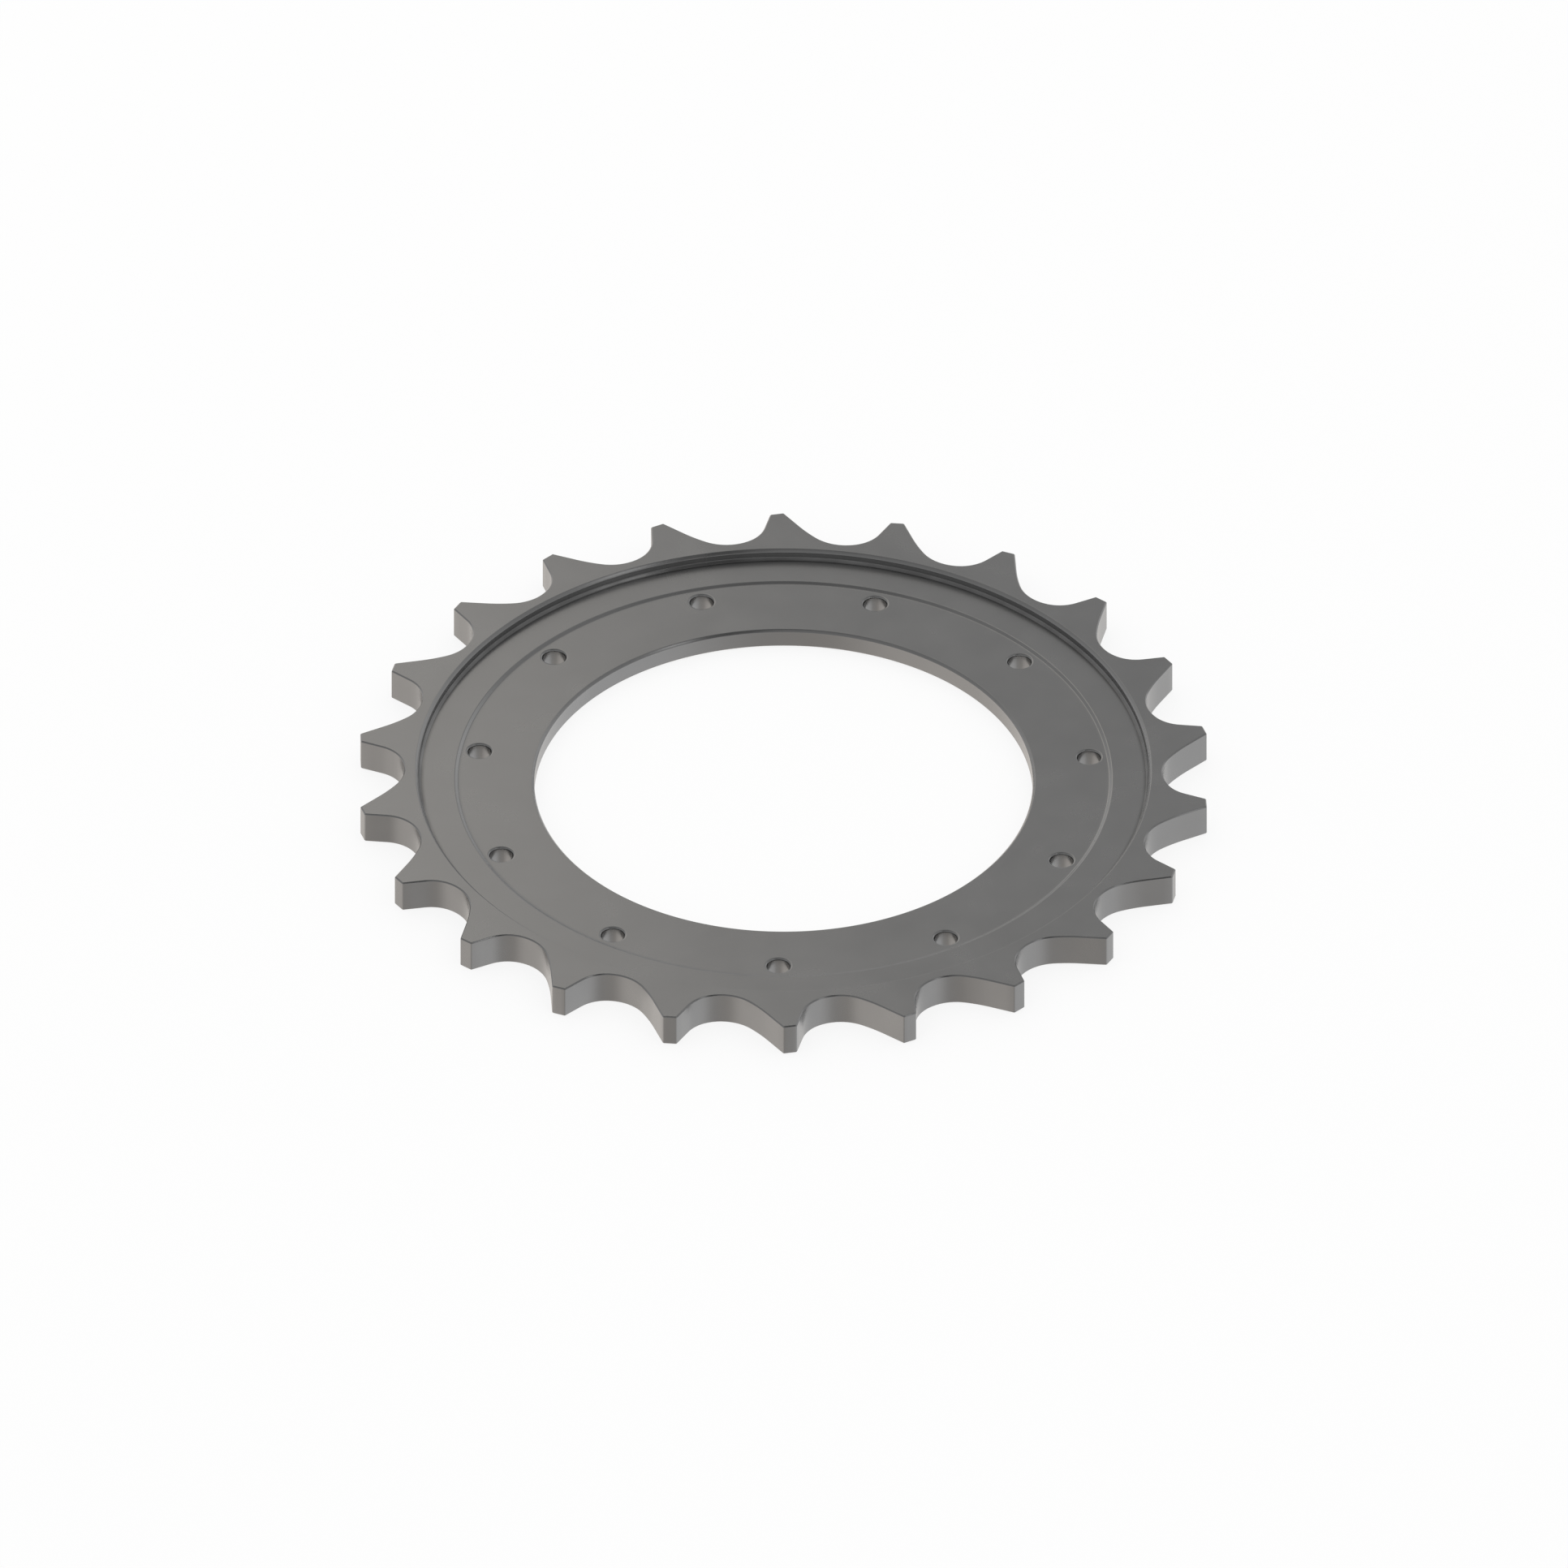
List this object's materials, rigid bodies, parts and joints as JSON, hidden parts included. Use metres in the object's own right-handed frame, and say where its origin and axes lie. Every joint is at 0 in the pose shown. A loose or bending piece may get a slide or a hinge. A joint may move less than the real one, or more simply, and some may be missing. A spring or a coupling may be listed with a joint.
{
  "type": "chain sprocket",
  "caption": "Bolt-on chain sprocket ring: flat toothed plate with one-way teeth, a large bore, a shallow recess and a ring of bolt holes.",
  "frame": {"origin": "centre of the bore at the flat back face", "axes": "+Z along the bore axis out of the recessed front face; the tooth that the picture shows furthest away is next to +Y; the driving flanks face clockwise seen from +Z"},
  "size_m": [0.4948, 0.4998, 0.02],
  "materials": {
    "steel": "satin grey, uncoated"
  },
  "bodies": {
    "root": {"sprocket": "steel"}
  },
  "joints": []
}
